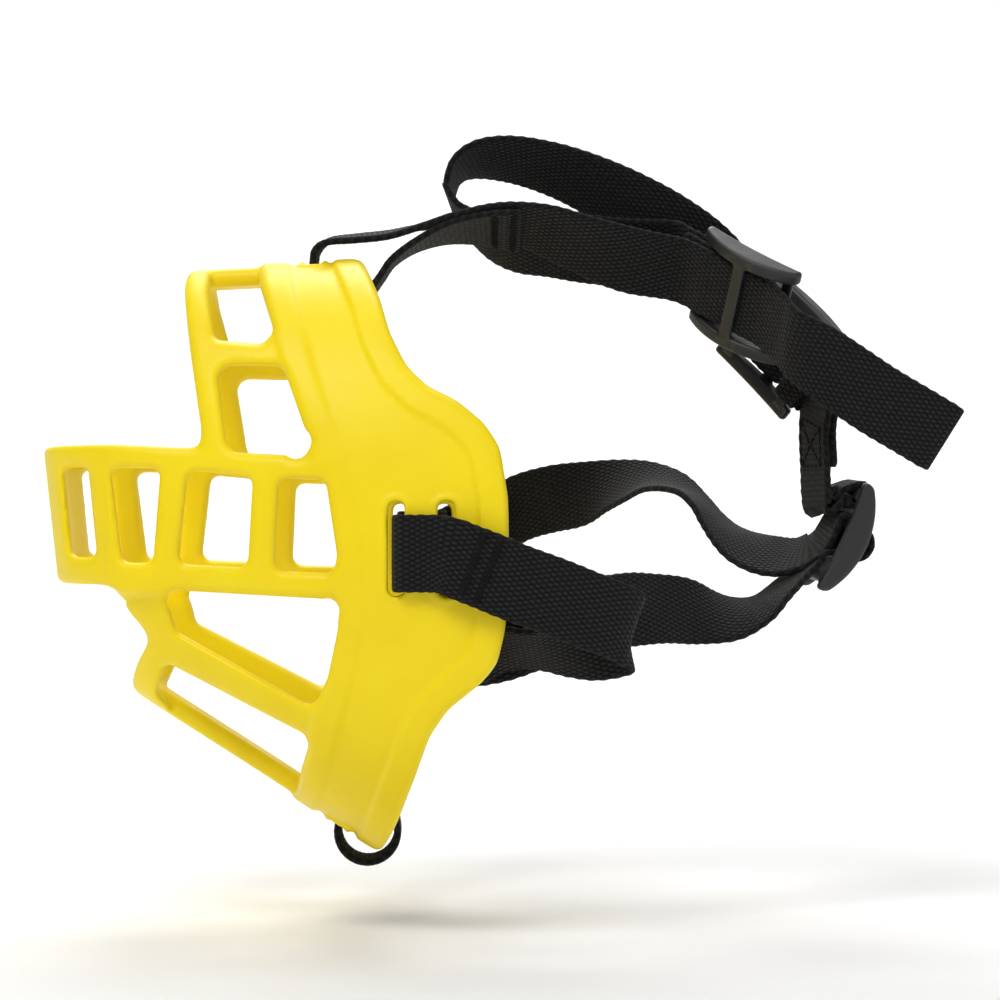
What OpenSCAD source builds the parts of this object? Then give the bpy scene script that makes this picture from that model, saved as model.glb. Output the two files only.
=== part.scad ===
// Basket muzzle for a dog: one moulded soft basket, held on by a webbing harness with three
// three-bar sliders. Millimetres. +Z is up, the nose points to -X, and the origin is the middle
// of the opening that the snout goes in by. The left cheek is at -Y.

/* [Basket] */
// Reach of the nose ring in front of the snout opening
nose_reach = 68.3; // [66:0.1:70]
// Thickness of the moulded wall
wall = 3.8; // [3.4:0.1:4.2]
// Height of the rim and ridge beads above the band
bead_rise = 0.7; // [0.4:0.1:1]
// Width of the bead along the rear rim
rim_bead_w = 5.8; // [5:0.1:6.6]
// Width of the bars across the middle, over the muzzle and under the chin
spine_w = 10; // [8:0.5:12]

/* [Slots] */
// Height of the four cheek slots
cheek_slot_h = 18.4; // [17:0.1:19]
// Width of every webbing slot
slot_w = 3.3; // [3.1:0.1:3.4]
// Length of the top and bottom slots, across the band
cross_slot_l = 17.5; // [16.5:0.1:18]

/* [Webbing] */
// Width of the webbing
web_w = 15; // [14.6:0.1:15.2]
// Thickness of the webbing
web_t = 1.4; // [1.2:0.05:1.4]
// Width of the chin loop's narrower tape
tape_w = 12; // [10:0.5:13]

/* [Sliders] */
// Length of a slider's side rails
slider_l = 24; // [23:0.5:25]
// Thickness of a side rail, across the webbing
rail_t = 2.8; // [2.4:0.1:3]
// Thickness of the three crossbars
bar_t = 1.2; // [1:0.1:1.3]

/* [Hidden] */
yellow = "#f5de12";
webbing_black = "#161616";
slider_black = "#2b2b2d";
thread_black = "#1f1f20";
far = 120;                 // reach of every cutting solid, past the whole object
cut = 0.3;                 // thickness of the slices that the hulls join

// ---------- vectors, frames and smooth routes ----------
function unit(v) = v / norm(v);
function square_to(v, t) = unit(v - (v * t) * t);
// Catmull-Rom curve through rows of numbers, with a number of steps in each gap
function row(points, i) = points[max(0, min(len(points) - 1, i))];
function curve_at(a, b, c, d, s) =
    0.5 * (2 * b + (c - a) * s + (2 * a - 5 * b + 4 * c - d) * s * s
        + (3 * b - a - 3 * c + d) * s * s * s);
function smooth_route(points, steps) = concat(
    [for (i = [0 : len(points) - 2]) for (k = [0 : steps - 1])
        curve_at(row(points, i - 1), points[i], points[i + 1], row(points, i + 2), k / steps)],
    [points[len(points) - 1]]);
// A frame is [centre, along, across, out]: along a slider's rails, along its bars, off its face
function frame_of(centre, along, across) =
    let (l = unit(along), b = square_to(across, l)) [centre, l, b, cross(b, l)];
// One row of a webbing route from a place in a frame, the webbing lying along the bars
function in_frame(f, l, n, side = 1) = concat(f[0] + l * f[1] + n * f[3], side * f[2]);
// Rows on an oval round a bar, from one angle to another, measured from along towards out
function round_bar(f, l, n, r, from, to, side = 1) = [for (k = [0 : 6])
    let (a = from + (to - from) * k / 6) in_frame(f, l + r[0] * cos(a), n + r[1] * sin(a), side)];
// A row of a route is [x, y, z, ux, uy, uz]: a point of the middle line, and the way across
function place(r) = [r[0], r[1], r[2]];
function across(r) = [r[3], r[4], r[5]];
function tangent(rows, i) = unit(place(row(rows, i + 1)) - place(row(rows, i - 1)));
function route_frame(rows, i) = frame_of(place(rows[i]), tangent(rows, i), across(rows[i]));

// Webbing of one width and thickness swept along a route
module webbing(route, width = web_w, steps = 3) {
    rows = smooth_route(route, steps);
    corners = [[-1, -1], [1, -1], [1, 1], [-1, 1]];
    points = [for (i = [0 : len(rows) - 1]) let (f = route_frame(rows, i)) for (c = corners)
        f[0] + c[0] * width / 2 * f[2] + c[1] * web_t / 2 * f[3]];
    last = 4 * (len(rows) - 1);
    sides = [for (i = [0 : len(rows) - 2]) for (k = [0 : 3])
        let (a = 4 * i + k, b = 4 * i + (k + 1) % 4) each [[a, b + 4, a + 4], [a, b, b + 4]]];
    ends = [[0, 2, 1], [0, 3, 2], [last, last + 1, last + 2], [last, last + 2, last + 3]];
    polyhedron(points, concat(sides, ends), convexity = 8);
}
// Thread laid across webbing: bars at distances along a frame, lying on one face of the webbing
module in_place(f) {
    multmatrix([[f[1][0], f[2][0], f[3][0], f[0][0]], [f[1][1], f[2][1], f[3][1], f[0][1]],
        [f[1][2], f[2][2], f[3][2], f[0][2]]]) children();
}
thread_t = 0.9;            // from inside the webbing to the top of the thread
thread_rise = 0.3;         // how far the thread stands off the webbing
module tack(f, side, bars = [0], length = web_w - 2.5) {
    rise = side * (web_t / 2 + thread_rise - thread_t / 2);
    in_place(f) for (l = bars)
        translate([l, 0, rise]) cube([1.3, length, thread_t], center = true);
}

// ---------- the sliders' frames ----------
overhead_frame = frame_of([76, -4, 53], [0.73, -0.5, -0.46], [-0.16, 0.58, -0.8]);
loop_frame = frame_of([86.8, 9.3, 43.6], [0.53, -0.54, -0.65], [0.54, -0.3, 0.79]);
neck_frame = frame_of([97.5, 0, 3.1], [-0.41, 0, -0.91], [0.1, -1, 0]);

// ---------- basket ----------
// The band and cage are an oval tube; each slice is [x, half width, top z, bottom z]
tube_slices = [[-51, 26, 56, -27.5], [-45, 29, 57.6, -31.5], [-38, 31.5, 58.5, -36],
    [-23, 37.5, 59.3, -45.6], [-6, 42, 60.2, -56.6], [10, 44, 61.5, -66], [30, 45, 63, -76]];
// Seen from the side, the basket's rear edge from the top of the rim to the bottom of it
rear_edge = [[-2.8, 62], [1.6, 51.4], [3.7, 44], [7, 37.2], [11, 33.2], [17, 30.2], [22.2, 25.8],
    [25.3, 21], [26.8, 11], [26.9, 3], [26.3, -14], [24.7, -21], [21.6, -24.8], [15.2, -30],
    [11.6, -35.4], [9, -43], [5, -54], [0.9, -63]];
// The rest of the outline: chin hoop, chin slope, nose rings and the front of the upper arch
front_edge = [[-20, -70], [-50, -48], [-50, -27.2], [-47.4, -21.6], [-44.6, -17.4], [-45.6, -15],
    [-49, -11.2], [-51.4, -7.2], [-53, -6.2], [-72, -6.2], [-72, 22], [-53, 22], [-33.6, 21],
    [-33.4, 24.4], [-36.6, 43], [-38.4, 54], [-38.6, 70]];
// The ridge bead's rear line, from the top of the band to its bottom
ridge_line = [[-18.2, 62], [-14.6, 48], [-11.2, 35.7], [-5.2, 18.5], [-1.9, 3], [-1.7, -13.5],
    [-4.3, -26.3], [-8.8, -42.5], [-13, -56]];
ridge_w = 5.2;
ridge_plain = [-30, 38];   // the ridge bead is left off between these heights
nose_x = -38;              // middle of the nose's round plan
nose_draw = 3.2;           // how far the nose's front draws back at its bottom
ring_top_z = 22;
ring_bottom_z = -6.2;

module oval(half_w, top, bottom) {
    translate([(top + bottom) / 2, 0])
        polygon([for (a = [0 : 7.5 : 352.5]) let (c = cos(a), s = sin(a), p = 2 / 2.15)
            [(top - bottom) / 2 * sign(c) * pow(abs(c), p), half_w * sign(s) * pow(abs(s), p)]]);
}
module slice(s, grow, shift) {
    translate([s[0] + shift, 0, 0]) rotate([0, -90, 0]) linear_extrude(cut)
        oval(s[1] + grow, s[2] + grow, s[3] - grow);
}
module tube(grow) {
    last = len(tube_slices) - 1;
    over = grow < 0 ? 2 : 0;
    for (i = [0 : last - 1]) hull() {
        slice(tube_slices[i], grow, i == 0 ? -over : 0);
        slice(tube_slices[i + 1], grow, i + 1 == last ? over : 0);
    }
}
// The nose is half round in plan and draws in by a little towards the chin
module nose(grow) {
    top_r = nose_reach + nose_x + grow;
    over = grow < 0 ? 2 : 0;
    hull() {
        translate([nose_x, 0, ring_top_z + 1 + over]) cylinder(r = top_r, h = cut, $fn = 96);
        translate([nose_x, 0, ring_bottom_z - 1 - over]) scale([(top_r - nose_draw) / top_r, 0.97, 1])
            cylinder(r = top_r, h = cut, $fn = 96);
    }
}
module solid_form(grow) {
    tube(grow);
    nose(grow);
}
// Everything with this outline in the side view, from one side of the basket to the other
module side_prism(from_y = -far, to_y = far) {
    translate([0, to_y, 0]) rotate([90, 0, 0]) linear_extrude(to_y - from_y) children();
}
module rounded(r) {
    offset(r, $fn = 20) offset(-2 * r, $fn = 20) offset(r, $fn = 20) children();
}
module outline() {
    rounded(1.2) polygon(concat(rear_edge, front_edge));
}
module window(points, r = 2.2) {
    rounded(r) polygon(points);
}
// Openings that go right across, both sides alike: between the nose rings, over them, and below
module side_windows() {
    window([[-30.6, 37.5], [-17.4, 37.3], [-11.6, 21.4], [-12.6, 19.4], [-27, 20.2], [-28.4, 22]]);
    window([[-62.4, 17.4], [-56.8, 17.4], [-55, -0.6], [-60.6, -0.6]], 1.2);
    window([[-51.8, 17.2], [-41.6, 17], [-43.2, -1.6], [-49.4, -1.6]], 1.4);
    window([[-36, 16.6], [-23, 15.4], [-24, -2.4], [-38, -1.8]], 1.6);
    window([[-17.8, 15], [-8.6, 14.6], [-6.4, 0], [-7, -3.4], [-18.6, -3]], 1.6);
    window([[-41, -7], [-7, -8.6], [-6, -10], [-6.4, -15], [-8.3, -23.8], [-11, -30.2],
        [-38.8, -15.3]], 1.8);
}
// Openings that stop at the spine bars
module spine_windows() {
    window([[-33.6, 60], [-33.2, 52], [-31.2, 42.8], [-21.6, 41.8], [-19.4, 44.3], [-22.8, 54],
        [-24, 60]], 1.8);
    window([[-41.6, -21.6], [-13.2, -35.6], [-12.4, -37.8], [-14, -42.6], [-16, -50],
        [-40, -34], [-44, -28]], 1.8);
}
module cheek_slots() {
    slot_mid_z = 1.3;
    for (x = [5.1, 14.8])
        translate([x - slot_w / 2, slot_mid_z - cheek_slot_h / 2]) square([slot_w, cheek_slot_h]);
}
top_slot = [-12.4, 0, 60];
bottom_slot = [-7.6, 0, -55.8];
bottom_tilt = 27;          // slope of the band's underside, in degrees
module band_slot(at, tilt, grow, depth) {
    translate(at) rotate([0, tilt, 0])
        cube([slot_w + 2 * grow, cross_slot_l + 2 * grow, depth], center = true);
}
// The rear edge and the ridge line, each closed far in front or far behind
module in_front_of_rear_edge() {
    polygon(concat([[-2.8, far]], rear_edge, [[0.9, -far], [-far, -far], [-far, far]]));
}
module behind_ridge() {
    polygon(concat(ridge_line, [[far, -far], [far, far]]));
}
module rim_bead_area() {
    difference() {
        translate([-24, -far]) square([far, 2 * far]);
        offset(-rim_bead_w, $fn = 32) in_front_of_rear_edge();
    }
}
module ridge_bead_area() {
    difference() {
        translate([-ridge_w, 0]) behind_ridge();
        behind_ridge();
        translate([-far, ridge_plain[0]]) square([2 * far, ridge_plain[1] - ridge_plain[0]]);
    }
}
slot_lip_w = 1.3;          // width of the lips round the top and bottom slots
module beads() {
    intersection() {
        difference() {
            solid_form(bead_rise);
            solid_form(-wall / 2);
        }
        union() {
            side_prism() rim_bead_area();
            side_prism() ridge_bead_area();
            band_slot(top_slot, 0, slot_lip_w, 10);
            band_slot(bottom_slot, bottom_tilt, slot_lip_w, 10);
        }
    }
}
module basket() color(yellow) difference() {
    intersection() {
        union() {
            difference() {
                solid_form(0);
                solid_form(-wall);
            }
            beads();
        }
        side_prism() outline();
    }
    side_prism() side_windows();
    side_prism() cheek_slots();
    side_prism(spine_w / 2, far) spine_windows();
    side_prism(-far, -spine_w / 2) spine_windows();
    band_slot(top_slot, 0, 0, 14);
    band_slot(bottom_slot, bottom_tilt, 0, 14);
}

// ---------- sliders: two arched side rails, a raised middle bar and two low end bars ----------
rail_mid = [-1.9, 3.4];    // underside and top of a rail at its middle
rail_tip = [-2.7, -0.5];   // underside and top of a rail at its tips
end_bar_at = slider_l / 2 - 2.8;
end_bar_w = 2.4;
mid_bar_w = 2.8;
rail_gap = web_w + 1.4;    // clear width between the rails
function arc_r(rise) = (pow(slider_l / 2, 2) + rise * rise) / (2 * rise);
module rail_side() {
    top_r = arc_r(rail_mid[1] - rail_tip[1]);
    low_r = arc_r(rail_mid[0] - rail_tip[0]);
    difference() {
        intersection() {
            translate([0, rail_mid[1] - top_r]) circle(top_r, $fn = 96);
            translate([-slider_l / 2, rail_tip[0]]) square([slider_l, 8]);
        }
        translate([0, rail_mid[0] - low_r]) circle(low_r, $fn = 96);
    }
}
module slider_bar(l, width, low) {
    translate([l, rail_gap / 2 + 0.5, low + bar_t / 2]) rotate([90, 0, 0])
        linear_extrude(rail_gap + 1) {
            square([width - bar_t, bar_t], center = true);
            for (x = [-1, 1]) translate([x * (width - bar_t) / 2, 0]) circle(d = bar_t, $fn = 24);
        }
}
module slider(f) color(slider_black) in_place(f) {
    for (side = [-1, 1])
        translate([0, side * (rail_gap + rail_t) / 2 + rail_t / 2, 0])
            rotate([90, 0, 0]) linear_extrude(rail_t) rail_side();
    slider_bar(0, mid_bar_w, rail_mid[1] - bar_t);
    for (l = [-end_bar_at, end_bar_at]) slider_bar(l, end_bar_w, rail_tip[0]);
}
module overhead_slider() slider(overhead_frame);
module loop_slider() slider(loop_frame);
module neck_slider() slider(neck_frame);

// ---------- overhead strap: sewn round the top slot's rear strip, then through its slider ----------
through_n = 1.2;           // how high webbing passes between a slider's low and raised bars
tail_start = [96, -20.4, 35.2, -0.45, 0.37, -0.81];   // where the free tail begins
overhead_route = concat([
    [30.4, -0.8, 67, 0, 0.87, -0.5], [24, -0.5, 67.5, 0, 0.93, -0.36],
    [16, -0.2, 66.8, 0, 0.98, -0.2], [9, 0, 64.2, 0, 1, -0.05], [4, 0, 60.8, 0, 1, 0],
    [1.4, 0, 57.2, 0, 1, 0], [-1.2, 0, 54, 0, 1, 0], [-5, 0, 53.2, 0, 1, 0],
    [-9.7, 0, 53.2, 0, 1, 0], [-12.2, 0, 55.8, 0, 1, 0], [-12.4, 0, 60.2, 0, 1, 0],
    [-11.8, 0, 63, 0, 1, 0], [-9.2, 0, 64.9, 0, 1, 0], [-4, 0, 65.5, 0, 1, 0],
    [3, 0, 66.3, 0, 1, 0], [10, 0, 68, 0, 1, 0], [16, 0.1, 68.9, 0, 0.98, -0.2],
    [24, 0.2, 69.1, 0, 0.93, -0.36], [30.4, 0, 68.6, 0, 0.87, -0.5],
    [37, -0.4, 66.8, 0, 0.74, -0.67], [45, -0.6, 63.8, -0.1, 0.66, -0.75],
    [54, 0.8, 61, -0.25, 0.5, -0.83]],
    [for (p = [[-15, 1.9], [-8, 1.3], [-2, through_n], [3, through_n], [7.4, 1.3], [12.9, 3.1],
        [17.6, 5.4]]) in_frame(overhead_frame, p[0], p[1])],
    [[90.5, -19, 39.2, -0.4, 0.42, -0.81], tail_start]);
module overhead_strap() color(webbing_black) webbing(overhead_route);
tail_route = [tail_start + [0.5, -0.1, -0.36, 0, 0, 0], [102, -21.5, 31, -0.46, 0.35, -0.81],
    [109, -22.6, 26.7, -0.46, 0.35, -0.81], [115.4, -23.4, 22.8, -0.46, 0.35, -0.81]];
module overhead_strap_tail() color(webbing_black) webbing(tail_route);

// ---------- loop strap: slack webbing from the overhead slider's end bar to the loop slider ----------
loop_end_route = concat([in_frame(overhead_frame, -17, -1.3), in_frame(overhead_frame, -13.5, -0.9)],
    round_bar(overhead_frame, -end_bar_at, -2, [2.3, 1.5], 80, -80),
    [in_frame(overhead_frame, -13.5, -3.2), in_frame(overhead_frame, -17, -3)]);
module loop_strap_end() color(webbing_black) webbing(loop_end_route);
loop_route = concat([in_frame(overhead_frame, -18.2, -3), in_frame(overhead_frame, -20.2, -3.2),
    [59.4, 9.2, 63.7, -0.15, 0.48, -0.86],
    [55, 8.4, 63.4, -0.1, 0.38, -0.92], [50, 8, 63.6, -0.1, 0.36, -0.93],
    [44, 7.6, 64.2, 0, 0.36, -0.93], [37, 8.4, 65, 0, 0.5, -0.86], [30, 10.4, 65.6, 0, 0.64, -0.77],
    [24, 13, 67.4, 0.1, 0.8, -0.6], [18.6, 16, 71.4, 0.1, 0.94, -0.3],
    [15.6, 18, 76.8, 0.1, 0.98, -0.15], [17.2, 18.6, 81.6, 0.1, 0.96, -0.2],
    [22, 18, 84, 0.1, 0.9, -0.4], [29, 16.4, 84, 0.1, 0.82, -0.57],
    [37, 14.6, 82, 0, 0.74, -0.67], [45, 13, 78.8, -0.2, 0.66, -0.72],
    [54, 12, 74.2, -0.35, 0.5, -0.78], [63, 12.4, 69, -0.45, 0.38, -0.8],
    [71, 14.2, 63, -0.54, 0.34, -0.77]],
    [for (p = [[-14, 1.6], [-9.2, 1.3], [-4, 0.8], [0, 1], [2, 1.9], [2.4, 3.1], [1.7, 4.2],
        [0, 4.7], [-3, 4.6], [-7.5, 3.8]]) in_frame(loop_frame, p[0], p[1], -1)]);
module loop_strap() color(webbing_black) webbing(loop_route);

// ---------- connector strap: a closed, doubled band between two sliders' end bars ----------
connector_route = concat(
    [[93.7, 0.3, 18, -0.22, 0.95, -0.2], [93.4, 0.2, 25, -0.22, 0.94, -0.25],
    [93.8, -0.3, 31, -0.3, 0.85, -0.42]],
    [in_frame(loop_frame, 14.4, -1.2, -1)],
    round_bar(loop_frame, end_bar_at, -2, [2.3, 1.7], 80, 280, -1),
    [in_frame(loop_frame, 14.4, -2.8, -1), [92.2, -1.4, 31, -0.3, 0.85, -0.42],
    [91.8, -0.2, 25, -0.22, 0.94, -0.25], [92.1, 0, 18, -0.22, 0.95, -0.2],
    [92.3, 0, 12.6, -0.22, 0.95, -0.2], [92.7, 0, 9.2, -0.18, 0.97, -0.1],
    [94.6, -0.1, 9.2, -0.12, 0.99, 0]],
    round_bar(neck_frame, -end_bar_at, -2, [2.4, 2.2], 300, 540, -1),
    [[96.4, 0, 13.2, -0.12, 0.99, 0], [94.8, 0.1, 11.4, -0.15, 0.98, -0.1],
    [94.1, 0.2, 13.4, -0.2, 0.97, -0.16]]);
module connector_strap() color(webbing_black) webbing(connector_route);

// ---------- neck strap: sewn round both cheeks' bridges, and through the neck slider ----------
// Round a cheek's bridge, from the sewn end under the strap to where the strap leaves the cheek;
// side is +1 for the right cheek, z is the height in the slots and slope the climb behind them
function cheek_loop(side, z, slope) = [for (p = [[26.4, 46.9], [21, 46.5], [17.4, 45.8],
    [15.1, 44.6], [14.8, 42.3], [14.3, 39.9], [12.4, 38.6], [9.8, 38.3], [7.4, 38.3],
    [5.4, 39.4], [5.1, 41.6], [5.1, 43.9], [6.4, 45.3], [9, 45.5], [12, 46.1], [15, 47.2],
    [18.5, 47.9], [22.5, 48.3]])
    [p[0], side * p[1], z + slope * max(0, p[0] - 14), 0, 0, 1]];
function turned(rows) = [for (i = [len(rows) - 1 : -1 : 0]) rows[i]];
neck_wrap = [for (p = [[-4.2, -2.8], [-3.6, 0.2], [-3, 3], [-1.9, 4.5], [0, 5.1], [1.9, 4.5],
    [3, 3], [3.6, 0.2], [4.2, -2.8]]) in_frame(neck_frame, p[0], p[1], -1)];
neck_route = concat(cheek_loop(1, 1.3, 0.43), [
    [27.5, 48.2, 7.4, 0, 0, 1], [33, 45.4, 10, 0, 0, 1], [39, 42.6, 11.6, 0, 0, 1],
    [45, 39.6, 12.6, 0.1, 0.2, 0.97], [51, 36, 14.2, 0.32, 0.48, 0.82],
    [57, 31.4, 15.2, 0.54, 0.6, 0.59], [62.6, 26.6, 15, 0.69, 0.69, 0.22],
    [68, 21.6, 12.2, 0.6, 0.79, -0.13], [71.2, 18.2, 9, 0.54, 0.82, -0.17],
    [74.4, 14.6, 5.2, 0.64, 0.77, -0.05], [80, 8.2, 0.8, 0.72, 0.61, 0.32],
    [85.6, 3.8, -0.9, 0.44, 0.74, 0.49], [90.4, 0.8, 0.4, 0, 0.93, 0.37],
    [93.8, 0.3, 3, -0.1, 0.98, 0.15]],
    neck_wrap, [
    [91.4, -0.2, -1.5, -0.2, 0.98, -0.03], [87.2, -2.2, -5.2, -0.31, 0.94, -0.09],
    [82.3, -5.2, -9.1, -0.41, 0.91, -0.05], [77.7, -7.5, -11.5, -0.49, 0.83, 0.27],
    [71.6, -10.5, -12.5, -0.33, 0.66, 0.68], [64.6, -14, -11.6, -0.12, 0.43, 0.89],
    [57.7, -18, -11, -0.12, 0.34, 0.93], [51, -22.4, -11.2, 0, 0.15, 0.98], [42, -27.4, -12.6, 0, 0, 1],
    [34, -28.8, -14.8, 0, 0, 1], [26, -29.2, -17.6, 0, 0, 1], [19.6, -29.2, -18.8, 0, 0, 1],
    [15.4, -29.8, -19, 0, 0, 1], [14, -31.2, -19, 0, 0, 1], [15.4, -32.6, -19, 0, 0, 1],
    [20, -33.2, -18.6, 0, -0.3, 0.95], [26, -34, -18.6, 0, -0.74, 0.67],
    [32, -35, -18.6, 0, -0.84, 0.54], [38, -36, -18.4, 0, -0.65, 0.76],
    [43, -36.6, -17.8, 0, -0.35, 0.93], [47, -37, -16.8, 0.1, -0.1, 0.99],
    [50, -38.2, -15.6, 0.24, 0, 0.97],
    [50.6, -40.8, -14.4, 0.24, 0, 0.97], [48.4, -43, -12.9, 0.1, 0, 0.99],
    [43, -45.2, -10.8, 0, 0, 1], [35.5, -47.2, -7.8, 0, 0, 1], [28, -48.2, -5.1, 0, 0, 1]],
    turned(cheek_loop(-1, 0.4, -0.38)));
module neck_strap() color(webbing_black) webbing(neck_route, steps = 2);

// ---------- chin loop: a small round of tape through the bottom slot, round the rim ----------
chin_loop_at = [-1.2, 0, -57.5];
chin_loop_r = 6.2;
lap_angle = 50;            // how much of the round is doubled, where the tape laps itself
lap_mid = 80;              // where the lap's middle is, from the rear round by the top
module tape_round(r, angle) {
    rotate([90, 0, 0]) rotate([0, 0, lap_mid - angle / 2])
        rotate_extrude(angle = angle, $fn = 72)
            translate([r - web_t / 2, -tape_w / 2]) square([web_t, tape_w]);
}
module chin_loop() color(webbing_black) translate(chin_loop_at) {
    tape_round(chin_loop_r, 360);
    tape_round(chin_loop_r + web_t - 0.01, lap_angle);
}

// ---------- thread ----------
module overhead_stitching() color(thread_black)
    tack(frame_of([27, -0.65, 67.35], [1, 0, -0.03], [0, 0.9, -0.43]), -1, [-1.9, 1.9]);
module loop_end_stitching() color(thread_black)
    tack(frame_of(place(in_frame(overhead_frame, -14.4, -3.15)), overhead_frame[1],
        overhead_frame[2]), -1, [-1.9, 1.9]);
module loop_stitching() color(thread_black)
    tack(frame_of(place(in_frame(loop_frame, -5, 4.35)), loop_frame[1] + 0.15 * loop_frame[3],
        loop_frame[2]), 1, [-1, 1]);
module connector_stitching() color(thread_black)
    for (side = [-1, 1])
        tack(frame_of([92.7 - 0.8 * side, 0.1 - 0.15 * side, 22.5], [0.03, -0.2, -1],
            [-0.22, 0.95, -0.22]), -side, [-2.6, 2.6]);
module cheek_tack(side, z, slope) {
    tack(frame_of([21.6, side * 48.2, z + slope * 7.6], [1, side * 0.08, slope], [0, 0, side]),
        -1, [-1.6, 1.6]);
}
module left_cheek_stitching() color(thread_black) cheek_tack(-1, 0.4, -0.38);
module right_cheek_stitching() color(thread_black) cheek_tack(1, 1.3, 0.43);
module chin_loop_stitching() color(thread_black)
    translate(chin_loop_at) for (a = [-12, 12]) rotate([0, -lap_mid + a, 0])
        translate([chin_loop_r + 1.5 * web_t + thread_rise - thread_t / 2, 0, 0])
            cube([thread_t, tape_w - 2, 1.1], center = true);

basket();
overhead_strap();
overhead_strap_tail();
overhead_slider();
loop_strap_end();
loop_strap();
loop_slider();
connector_strap();
neck_slider();
neck_strap();
chin_loop();
overhead_stitching();
loop_end_stitching();
loop_stitching();
connector_stitching();
left_cheek_stitching();
right_cheek_stitching();
chin_loop_stitching();
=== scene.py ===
"""Looks of the basket muzzle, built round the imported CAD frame. +Z is up, the nose points to -X
and the left cheek is at -Y. Shapes are worked out in millimetres and made in metres."""
import math
import bpy
import numpy as np
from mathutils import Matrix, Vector


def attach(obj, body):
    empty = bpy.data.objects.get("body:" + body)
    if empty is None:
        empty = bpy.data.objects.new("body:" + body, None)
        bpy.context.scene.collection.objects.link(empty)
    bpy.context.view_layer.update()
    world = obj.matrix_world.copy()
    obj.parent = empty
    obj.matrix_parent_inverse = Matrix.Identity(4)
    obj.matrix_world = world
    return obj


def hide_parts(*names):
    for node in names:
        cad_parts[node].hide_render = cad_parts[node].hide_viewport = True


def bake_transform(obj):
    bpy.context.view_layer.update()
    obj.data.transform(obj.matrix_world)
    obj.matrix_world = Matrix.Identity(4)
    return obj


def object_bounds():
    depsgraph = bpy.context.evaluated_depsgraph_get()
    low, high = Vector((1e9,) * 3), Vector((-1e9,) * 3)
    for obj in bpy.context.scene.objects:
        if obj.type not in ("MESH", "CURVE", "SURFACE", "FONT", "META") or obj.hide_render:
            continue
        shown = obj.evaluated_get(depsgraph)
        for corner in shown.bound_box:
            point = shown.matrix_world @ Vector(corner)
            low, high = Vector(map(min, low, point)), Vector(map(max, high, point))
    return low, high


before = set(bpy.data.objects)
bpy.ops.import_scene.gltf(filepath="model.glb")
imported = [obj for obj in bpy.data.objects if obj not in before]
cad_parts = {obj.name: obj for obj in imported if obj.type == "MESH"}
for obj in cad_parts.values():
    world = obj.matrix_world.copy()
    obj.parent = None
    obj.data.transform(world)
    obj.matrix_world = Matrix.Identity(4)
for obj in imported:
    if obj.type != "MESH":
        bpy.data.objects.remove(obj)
cad_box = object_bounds()
MM = 0.001


# ---------- vectors, frames and routes, as in the CAD source ----------
ROUTE_STEPS = 24           # steps of the curve between two rows of a route
ROW_GAP = 0.55             # between rows of points along a strap


def unit(v):
    v = np.asarray(v, float)
    return v / np.linalg.norm(v, axis=-1, keepdims=True)


def frame_of(centre, along, across):
    """Centre, along a slider's rails, along its bars, and off its face."""
    along = unit(along)
    across = np.asarray(across, float)
    across = unit(across - (across @ along) * along)
    return np.array(centre, float), along, across, np.cross(across, along)


def in_frame(f, along, out, side=1):
    return [*(f[0] + along * f[1] + out * f[3]), *(side * f[2])]


def round_bar(f, along, out, radii, start, end, side=1):
    """Rows on an oval round a bar, from one angle to another."""
    angles = [math.radians(start + (end - start) * k / 6) for k in range(7)]
    return [in_frame(f, along + radii[0] * math.cos(a), out + radii[1] * math.sin(a), side)
            for a in angles]


def smooth_rows(rows, steps):
    """A Catmull-Rom curve through rows of numbers."""
    rows = np.asarray(rows, float)
    a, b = np.vstack([rows[:1], rows[:-2]]), rows[:-1]
    c, d = rows[1:], np.vstack([rows[2:], rows[-1:]])
    pieces = []
    for s in np.arange(steps) / steps:
        pieces.append(0.5 * (2 * b + (c - a) * s + (2 * a - 5 * b + 4 * c - d) * s ** 2
                             + (3 * b - a - 3 * c + d) * s ** 3))
    dense = np.stack(pieces, axis=1).reshape(-1, rows.shape[1])
    return np.vstack([dense, rows[-1:]])


class Strap:
    """Webbing along a route: evenly spaced places, ways across and ways off its face."""

    def __init__(self, route, width):
        dense = smooth_rows(route, ROUTE_STEPS)
        gaps = np.linalg.norm(np.diff(dense[:, :3], axis=0), axis=1)
        reach = np.concatenate([[0], np.cumsum(gaps)])
        self.length = reach[-1]
        self.width = width
        self.u = np.linspace(0, self.length, int(self.length / ROW_GAP) + 1)
        rows = np.stack([np.interp(self.u, reach, dense[:, k]) for k in range(6)], axis=1)
        self.place = rows[:, :3]
        self.along = unit(np.gradient(self.place, axis=0))
        across = rows[:, 3:]
        self.across = unit(across - (across * self.along).sum(1, keepdims=True) * self.along)
        self.out = np.cross(self.across, self.along)

    def at(self, u, v, n):
        """The place u along, v across and n off the middle of the webbing."""
        place, across, out = (np.array([np.interp(u, self.u, rows[:, k]) for k in range(3)])
                              for rows in (self.place, self.across, self.out))
        return place + v * across + n * out


# ---------- meshes ----------
def make_mesh(name, points, faces, attributes=None):
    mesh = bpy.data.meshes.new(name)
    face_lists = faces.tolist() if isinstance(faces, np.ndarray) else faces
    mesh.from_pydata((np.asarray(points) * MM).tolist(), [], face_lists)
    mesh.update()
    for key, values in (attributes or {}).items():
        layer = mesh.attributes.new(key, "FLOAT", "POINT")
        layer.data.foreach_set("value", np.asarray(values, np.float32))
    mesh.polygons.foreach_set("use_smooth", [True] * len(mesh.polygons))
    piece = bpy.data.objects.new(name, mesh)
    bpy.context.scene.collection.objects.link(piece)
    return piece


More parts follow.
